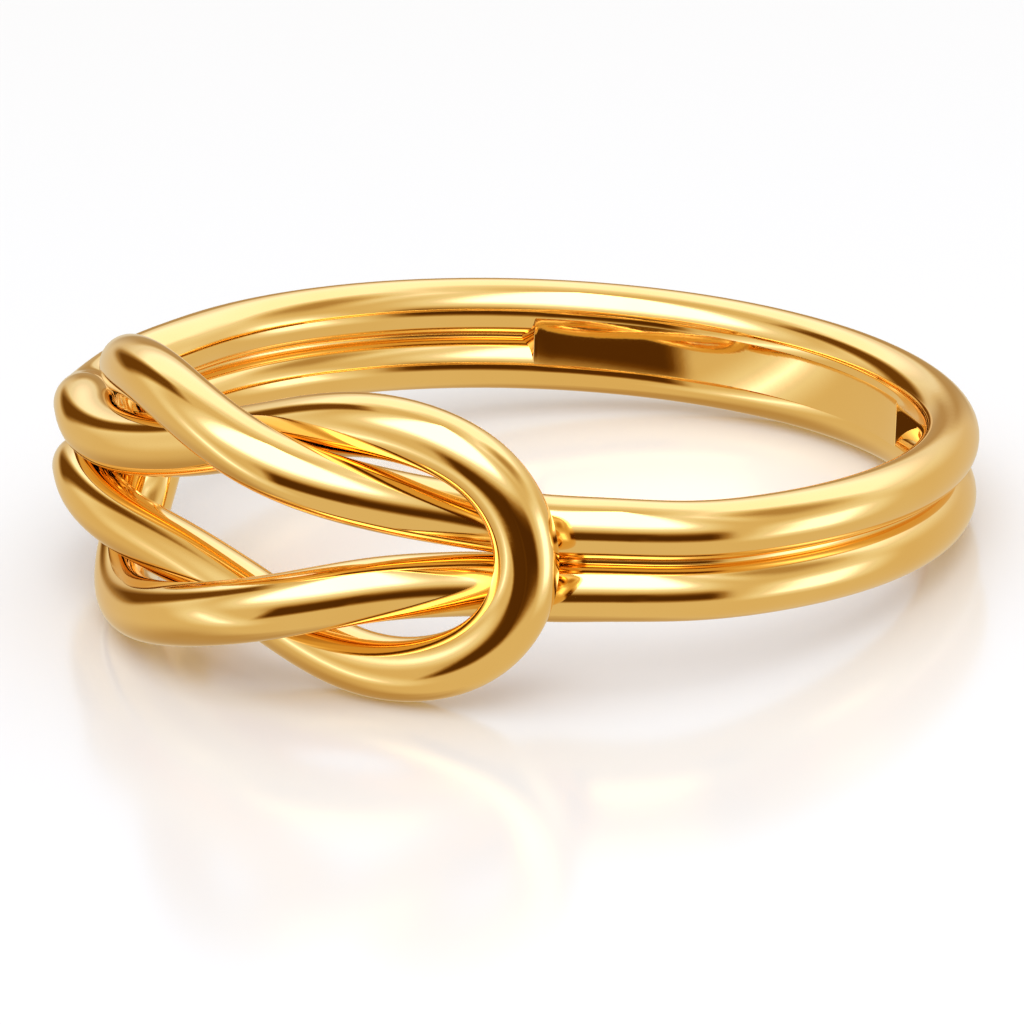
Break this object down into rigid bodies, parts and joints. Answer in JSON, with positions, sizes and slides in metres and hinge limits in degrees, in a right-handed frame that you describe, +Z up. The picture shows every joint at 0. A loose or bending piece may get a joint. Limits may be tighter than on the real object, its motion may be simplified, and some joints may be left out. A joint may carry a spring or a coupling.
{
  "type": "reef knot ring",
  "caption": "Polished gold wire finger ring whose front is a reef knot of interlocked wire loops, lying on its side.",
  "frame": {"origin": "on the floor, under the middle of the ring's outline as it lies", "axes": "+Z up, +Y from the knot to the plain back of the band, +X to the right of someone who faces the knot"},
  "size_m": [0.02, 0.0208, 0.007],
  "materials": {
    "gold": "polished"
  },
  "bodies": {
    "root": {"knot_ring": "gold"}
  },
  "joints": []
}
